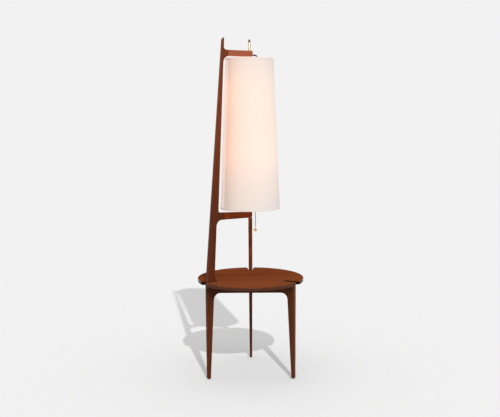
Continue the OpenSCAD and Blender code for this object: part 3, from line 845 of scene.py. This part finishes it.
class LAMP_OT_leads(bpy.types.Operator):
    """Make the lamp lead, its bush and the inlet bush"""

    bl_idname = "lamp.leads"
    bl_label = "Lead and Bushes"

    def execute(self, context):
        rubber = moulded("bush_rubber", BUSH_RUBBER, 0.46)
        eased_piece("inlet_bush", "cord_inlet", rubber, "frame", 0.35 * MM)
        eased_piece("arm_bush", "lead_bush", rubber, "frame", 0.35 * MM)
        line = bpy.data.curves.new("lead_line", "CURVE")
        line.dimensions = "3D"
        line.bevel_depth = LEAD_RADIUS
        line.bevel_resolution = 5
        line.resolution_u = 6
        line.use_fill_caps = True
        spline = line.splines.new("BEZIER")
        spline.bezier_points.add(len(LEAD_ROUTE) - 1)
        for point, (away, height) in zip(spline.bezier_points, LEAD_ROUTE):
            point.co = outwards(LEAD) * away + UP * height
            point.handle_left_type = point.handle_right_type = "AUTO"
        line.materials.append(moulded("lead_rubber", LEAD_RUBBER, 0.42, 500, 0.1))
        lead = in_scene("lamp_lead_line", line)
        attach(lead, "frame")
        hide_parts("lamp_lead")
        return {"FINISHED"}


class LAMP_OT_rod(bpy.types.Operator):
    """Make the threaded lamp rod, its washers and its nuts"""

    bl_idname = "lamp.rod"
    bl_label = "Rod, Washers and Nuts"

    def execute(self, context):
        metals = context.scene.lamp_metal
        brass = metal("brass_turned", metals.brass, 0.24)
        low, high, _, radius = round_box("lamp_rod")
        thread = 24 * MM
        depth = 0.45 * MM
        pitch = metals.thread_pitch
        profile = [(0, low.z), (radius - depth, low.z)]
        profile += threaded(radius, low.z + 0.5 * MM, low.z + thread, depth, pitch)
        profile += [(radius, low.z + thread + MM), (radius, high.z - 2 * thread)]
        profile += threaded(radius, high.z - 2 * thread + MM, high.z - 0.5 * MM, depth, pitch)
        profile += [(0, high.z)]
        steel = metal("rod_steel", metals.steel, 0.26)
        turned_piece("lamp_rod_tube", "lamp_rod", profile, steel, "frame", 32)
        eased_piece("rod_washer_set", "rod_washers", brass, "frame", 0.4 * MM)
        eased_piece("rod_nut_set", "rod_nuts", brass, "frame", 0.5 * MM)
        return {"FINISHED"}


class LAMP_OT_cluster(bpy.types.Operator):
    """Make the oval cluster box, its cap and the switch's nozzle"""

    bl_idname = "lamp.cluster"
    bl_label = "Cluster"

    def execute(self, context):
        brass = metal("brass_drawn", context.scene.lamp_metal.brass, 0.28, drawn=(1, 1, 0.05))
        for name, node, width in (
                ("cluster_box", "cluster_body", 0.7), ("cluster_lid", "cluster_cap", 0.6),
                ("switch_bell", "switch_nozzle", 0.3)):
            eased_piece(name, node, brass, "frame", width * MM)
        return {"FINISHED"}


class LAMP_OT_sockets(bpy.types.Operator):
    """Make the two sockets' shells and cores"""

    bl_idname = "lamp.sockets"
    bl_label = "Sockets"

    def execute(self, context):
        steps = context.scene.lamp_metal.round_steps
        brass = metal("brass_spun", context.scene.lamp_metal.brass, 0.22)
        cup = moulded("socket_insulator", SOCKET_PLASTIC, 0.25)
        for side, up in SIDES:
            low, high, middle, radius = round_box(side + "_socket_shell")
            nipple = 4.85 * MM
            root = 8 * MM
            flat = 8 * MM
            wall = 0.7 * MM
            long = high.z - low.z
            dome = [(nipple, 0), (nipple, root), (flat, root)]
            dome += arc((flat, root + 9 * MM), 9 * MM, radians(-90), 0, 8)
            bead = [(radius - 0.5 * MM, root + 9.6 * MM), (radius, root + 10.4 * MM),
                    (radius, root + 12.2 * MM), (radius - 0.5 * MM, root + 13 * MM)]
            mouth = [(radius - 0.3 * MM, long - 2.4 * MM), (radius, long - 1.8 * MM), (radius, long)]
            inside = [(radius - wall - 0.1 * MM, long), (radius - wall - 0.3 * MM, root + 9.6 * MM),
                      (flat, root + wall), (0, root + wall)]
            outline = stood([(0, 0)] + dome + bead + mouth + inside, low, high, up)
            turned_piece(side + "_socket_cup", side + "_socket_shell", outline, brass, "frame",
                         steps, middle.xy, 0.2 * MM)
            eased_piece(side + "_socket_lining", side + "_socket_core", cup, "frame", 0.5 * MM)
        return {"FINISHED"}


class LAMP_OT_bulbs(bpy.types.Operator):
    """Make the two frosted bulbs with their threaded caps"""

    bl_idname = "lamp.bulbs"
    bl_label = "Bulbs"

    def execute(self, context):
        metals = context.scene.lamp_metal
        frost = frosted_glass()
        plated = metal("cap_plating", metals.steel, 0.2)
        for side, up in SIDES:
            body = side + "_bulb"
            glass = body + "_glass"
            place_piece(body + "_globe", copy_of(glass), frost, body, [glass], smooth=60)
            low, high, middle, radius = round_box(body + "_cap")
            long = high.z - low.z
            outline = [(0, 0), (3.2 * MM, 0), (4.4 * MM, 1.2 * MM), (8.5 * MM, 2.4 * MM),
                       (radius - 2 * MM, 4.2 * MM)]
            outline += threaded(radius, 5.5 * MM, long - 7 * MM, 0.9 * MM, 3.2 * MM)
            outline += [(radius - 0.5 * MM, long - 5.5 * MM), (radius - 0.2 * MM, long), (0, long)]
            turned_piece(body + "_thread", body + "_cap", stood(outline, low, high, up), plated,
                         body, 40, middle.xy, 0.25 * MM, 50)
        return {"FINISHED"}


class LAMP_OT_chain(bpy.types.Operator):
    """Make the switch's pull rod, the bead chain and its ball"""

    bl_idname = "lamp.chain"
    bl_label = "Pull Chain"

    def execute(self, context):
        brass = metal("brass_chain", times(context.scene.lamp_metal.brass, AGED), 0.3)
        eased_piece("switch_rod_pin", "switch_pull", brass, "switch_rod", 0.3 * MM)

        low, high, middle, bead = round_box("pull_chain")
        pitch = 4.8 * MM
        wire = 0.7 * MM
        count = int((high.z - low.z - 2 * MM) / pitch)
        bm = bmesh.new()
        for i in range(count):
            place = Matrix.Translation((middle.x, middle.y, high.z - pitch * (i + 0.5)))
            bmesh.ops.create_icosphere(bm, subdivisions=2, radius=bead, matrix=place)
        foot, head = (Vector((middle.x, middle.y, z)) for z in (low.z, high.z))
        rod_between(bm, foot, head, wire, 8)
        place_piece("bead_chain", bm, brass, "chain", ["pull_chain"], smooth=80)

        low, high, middle, ball = round_box("chain_ball")
        centre = low.z + ball
        outline = [(0, high.z), (2.0 * MM, high.z), (2.3 * MM, high.z - 0.5 * MM),
                   (2.3 * MM, high.z - 1.2 * MM), (1.7 * MM, high.z - 1.9 * MM)]
        outline += arc((0, centre), ball, radians(74), radians(6), 12)
        outline += [(ball - 0.25 * MM, centre), *arc((0, centre), ball, radians(-6), radians(-88), 14)]
        outline += [(0, low.z)]
        brass = metal("brass_knob", times(context.scene.lamp_metal.brass, BUFFED), 0.18)
        turned_piece("chain_knob", "chain_ball", outline, brass, "chain", 40, middle.xy, smooth=28)
        return {"FINISHED"}


# ---- Shade ----


class LAMP_OT_shade(bpy.types.Operator):
    """Make the tapered linen cover and its two hems"""

    bl_idname = "lamp.shade"
    bl_label = "Shade"

    def execute(self, context):
        shade = context.scene.lamp_shade
        low, high, wide, narrow = cone("shade_fabric")
        tall = high.z - low.z
        slant = hypot(tall, wide - narrow)
        weave = linen()

        # The cut's flat shape is a stretch of a ring round the cone's own tip
        turn = 2 * pi + shade.lap
        columns = ceil(turn / radians(2.5))
        rows = 24
        start = POST - shade.lap
        bm = bmesh.new()
        bmesh.ops.create_grid(bm, x_segments=columns, y_segments=rows, size=0.5)
        double = bm.verts.layers.float.new("double")
        cut = bm.loops.layers.uv.new("cut")
        climb = radians(8)
        for v in bm.verts:
            along, up = v.co.x + 0.5, v.co.y + 0.5
            angle = turn * along
            over = min(max((angle - (2 * pi - climb)) / climb, 0), 1)
            radius = wide + (narrow - wide) * up + shade.cloth * (over * 0.62 - (1 - over) * 0.5)
            for loop in v.link_loops:
                loop[cut].uv = (angle * (wide + narrow) / 2, up * slant)
            v[double] = over
            v.co = outwards(start + angle) * radius + UP * (low.z + tall * up)
        bmesh.ops.recalc_face_normals(bm, faces=bm.faces)
        cover = place_piece("shade_cover", bm, weave, "shade", ["shade_fabric"], smooth=60,
                            wall=shade.cloth)
        for node, edge_z, inwards in (("shade_top_hem", high.z, -1), ("shade_bottom_hem", low.z, 1)):
            self.hem(node, edge_z, inwards, shade.cloth, weave)
        return {"FINISHED"}

    def hem(self, node, edge_z, inwards, cloth, weave):
        """A tape folded over one edge of the shade."""
        low, high, *reaches = cone(node)
        outside, far_out = reaches[::inwards]
        deep = (high.z - low.z) * inwards
        fold = 0.5 * MM
        inside = 4.4 * MM
        outline = [(far_out, edge_z + deep), (outside, edge_z + fold * inwards), (outside - fold, edge_z),
                   (outside - inside, edge_z), (outside - inside - fold, edge_z + fold * inwards),
                   (far_out - inside - fold, edge_z + deep * 0.8)]
        bm = bmesh.new()
        cut = bm.loops.layers.uv.new("cut")
        spin(bm, outline, 144)
        bmesh.ops.recalc_face_normals(bm, faces=bm.faces)
        for face in bm.faces:
            centre = face.calc_center_median()
            middle = atan2(centre.y, centre.x)
            for loop in face.loops:
                angle = atan2(loop.vert.co.y, loop.vert.co.x)
                angle += 2 * pi * round((middle - angle) / (2 * pi))
                loop[cut].uv = (angle * outside, loop.vert.co.z)
        place_piece(node + "_tape", bm, weave, "shade", [node], smooth=50, wall=cloth * 0.8)


class LAMP_OT_lining(bpy.types.Operator):
    """Make the smooth lining inside the linen"""

    bl_idname = "lamp.lining"
    bl_label = "Lining"

    def execute(self, context):
        low, high, wide, narrow = cone("shade_liner")
        thick = 0.5 * MM
        outline = [(wide, low.z), (narrow, high.z), (narrow - thick, high.z), (wide - thick, low.z)]
        turned_piece("shade_lining", "shade_liner", outline, lining(), "shade", 144)
        return {"FINISHED"}


class LAMP_OT_wires(bpy.types.Operator):
    """Make the shade's spider and its bottom ring"""

    bl_idname = "lamp.wires"
    bl_label = "Spider and Ring"

    def execute(self, context):
        plated = metal("wire_plating", context.scene.lamp_metal.steel, 0.3)
        hub = 4.0 * MM
        wire = 1.8 * MM
        spoke = 1.6 * MM
        hub_out = 11 * MM
        bore = 4.95 * MM
        ring, middle = self.ring("shade_spider", wire)
        bm = bmesh.new()
        turned(bm, self.section(ring, middle, wire), 96)
        outline = [(bore, middle - hub / 2), (hub_out, middle - hub / 2), (hub_out, middle + hub / 2),
                   (bore, middle + hub / 2)]
        turned(bm, outline, 48, edge=0.6 * MM, segments=3)
        for bearing in (POST, RIGHT, REAR):
            out = outwards(bearing)
            inner, outer = (out * away + UP * middle for away in (hub_out - MM, ring - 0.3 * MM))
            rod_between(bm, inner, outer, spoke)
        place_piece("shade_spider_frame", bm, plated, "shade", ["shade_spider"], smooth=40)
        outline = self.section(*self.ring("shade_bottom_ring", wire), wire)
        turned_piece("shade_foot_ring", "shade_bottom_ring", outline, plated, "shade", 128,
                     smooth=40)
        return {"FINISHED"}

    def ring(self, node, wire):
        """A wire ring's radius, to the middle of its wire, and its height."""
        low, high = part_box(node)
        height = (low.z + high.z) / 2
        return reach_at(node, height, 2 * MM) - wire, height

    def section(self, radius, height, wire, steps=12):
        """The round section of a wire ring."""
        return arc((radius, height), wire, 0, 2 * pi * (steps - 1) / steps, steps - 1)


class LAMP_OT_finial(bpy.types.Operator):
    """Make the brass finial and its wooden tip"""

    bl_idname = "lamp.finial"
    bl_label = "Finial"

    def execute(self, context):
        brass = metal("brass_finial", times(context.scene.lamp_metal.brass, NICKELLED), 0.16)
        tip = plain_wood("tip_wood", TIP_WOOD, 0.9)
        eased_piece("finial_spindle", "finial_body", brass, "finial", 0.35 * MM, sharpest=35)
        eased_piece("finial_cap", "finial_tip", tip, "finial", 0.5 * MM, 3, 30, smooth=50)
        return {"FINISHED"}


# ---- Stage ----


class LAMP_OT_stage(bpy.types.Operator):
    """Make the camera, the pale floor and the soft lights"""

    bl_idname = "lamp.stage"
    bl_label = "Stage"

    def execute(self, context):
        stage = context.scene.lamp_stage
        self.camera(context, stage)
        self.floor(stage)
        self.lights(context, stage)
        context.scene.view_settings.view_transform = "Standard"
        return {"FINISHED"}

    def camera(self, context, stage):
        """The camera, turned down and a little to one side."""
        ahead = Vector((0, cos(stage.pitch), -sin(stage.pitch)))
        side = Vector((1, 0, 0))
        top = side.cross(ahead)
        lean = Matrix.Rotation(stage.roll, 3, ahead)
        side, top = lean @ side, lean @ top
        data = bpy.data.cameras.new("lamp_camera")
        data.lens = stage.lens
        data.clip_end = 500
        camera = in_scene("lamp_camera", data)
        turn = Matrix((side, top, -ahead)).transposed().to_4x4()
        camera.matrix_world = Matrix.Translation(stage.eye) @ turn
        context.scene.camera = camera

    def floor(self, stage):
        """A wide pale floor, which keeps the lamp's shadow."""
        bm = bmesh.new()
        bmesh.ops.create_circle(bm, cap_ends=True, radius=150, segments=96)
        mesh = bpy.data.meshes.new("pale_floor")
        bm.to_mesh(mesh)
        bm.free()
        material = bpy.data.materials.new("pale_floor")
        material.use_nodes = True
        tree = material.node_tree
        tree.nodes.clear()
        level = spread(tree, seen_rays(tree), stage.bounce, stage.pale)
        surface = add(tree, "BsdfDiffuse", {"Color": level})
        add(tree, "OutputMaterial", {"Surface": surface.outputs[0]})
        mesh.materials.append(material)
        in_scene("pale_floor", mesh)

    def lights(self, context, stage):
        """An even world with soft boxes for the metal to mirror, and one key light."""
        world = bpy.data.worlds.new("soft_studio")
        context.scene.world = world
        world.use_nodes = True
        tree = world.node_tree
        tree.nodes.clear()
        level = spread(tree, seen_rays(tree), stage.sky, stage.pale)
        aim = add(tree, "SeparateXYZ", {0: add(tree, "TexCoord").outputs["Generated"]}).outputs[1]
        boxes = spread(tree, maths(tree, "ABSOLUTE", aim), stage.gloss_side, stage.gloss_front, 0.5, 0.85)
        glossy = add(tree, "LightPath").outputs["Is Glossy Ray"]
        level = spread(tree, glossy, level, boxes)
        light = add(tree, "Background", {"Color": level, "Strength": 1.0})
        add(tree, "OutputWorld", {"Surface": light.outputs[0]})
        path = Vector(stage.sun_path).normalized()
        data = bpy.data.lights.new("key_light", "SUN")
        data.energy = stage.sun * pi / -path.z
        data.angle = stage.sun_width
        key = in_scene("key_light", data)
        key.matrix_world = path.to_track_quat("-Z", "Y").to_matrix().to_4x4()


def seen_rays(tree):
    """1 for the rays that see the background, straight or in metal and glass, else 0."""
    ray = add(tree, "LightPath").outputs
    glossy = maths(tree, "MAXIMUM", ray["Is Camera Ray"], ray["Is Glossy Ray"])
    return maths(tree, "MAXIMUM", glossy, ray["Is Transmission Ray"])


# ---- Panel and registration ----

STEPS = (
    LAMP_OT_post, LAMP_OT_legs, LAMP_OT_arms, LAMP_OT_rails, LAMP_OT_tabletop, LAMP_OT_fixings,
    LAMP_OT_leads, LAMP_OT_rod, LAMP_OT_cluster, LAMP_OT_sockets, LAMP_OT_bulbs, LAMP_OT_chain,
    LAMP_OT_lining, LAMP_OT_wires, LAMP_OT_shade, LAMP_OT_finial, LAMP_OT_stage,
)


class LAMP_PT_sidebar(bpy.types.Panel):
    """The lamp's sizes, colours and pieces"""

    bl_idname = "LAMP_PT_sidebar"
    bl_label = "Floor Lamp"
    bl_space_type = "VIEW_3D"
    bl_region_type = "UI"
    bl_category = "Floor Lamp"

    def draw(self, context):
        for name, group in SETTINGS.items():
            box = self.layout.box()
            box.label(text=group.__doc__)
            for setting in group.__annotations__:
                box.prop(getattr(context.scene, name), setting)
        for step in STEPS:
            self.layout.operator(step.bl_idname)


def register():
    for name, group in SETTINGS.items():
        bpy.utils.register_class(group)
        setattr(bpy.types.Scene, name, PointerProperty(type=group))
    for step in (*STEPS, LAMP_PT_sidebar):
        bpy.utils.register_class(step)


def unregister():
    for step in reversed((*STEPS, LAMP_PT_sidebar)):
        bpy.utils.unregister_class(step)
    for name, group in reversed(SETTINGS.items()):
        delattr(bpy.types.Scene, name)
        bpy.utils.unregister_class(group)


def main():
    """Make the whole lamp and its stage."""
    register()
    for step in STEPS:
        category, name = step.bl_idname.split(".")
        getattr(getattr(bpy.ops, category), name)()


if __name__ == "__main__":
    main()
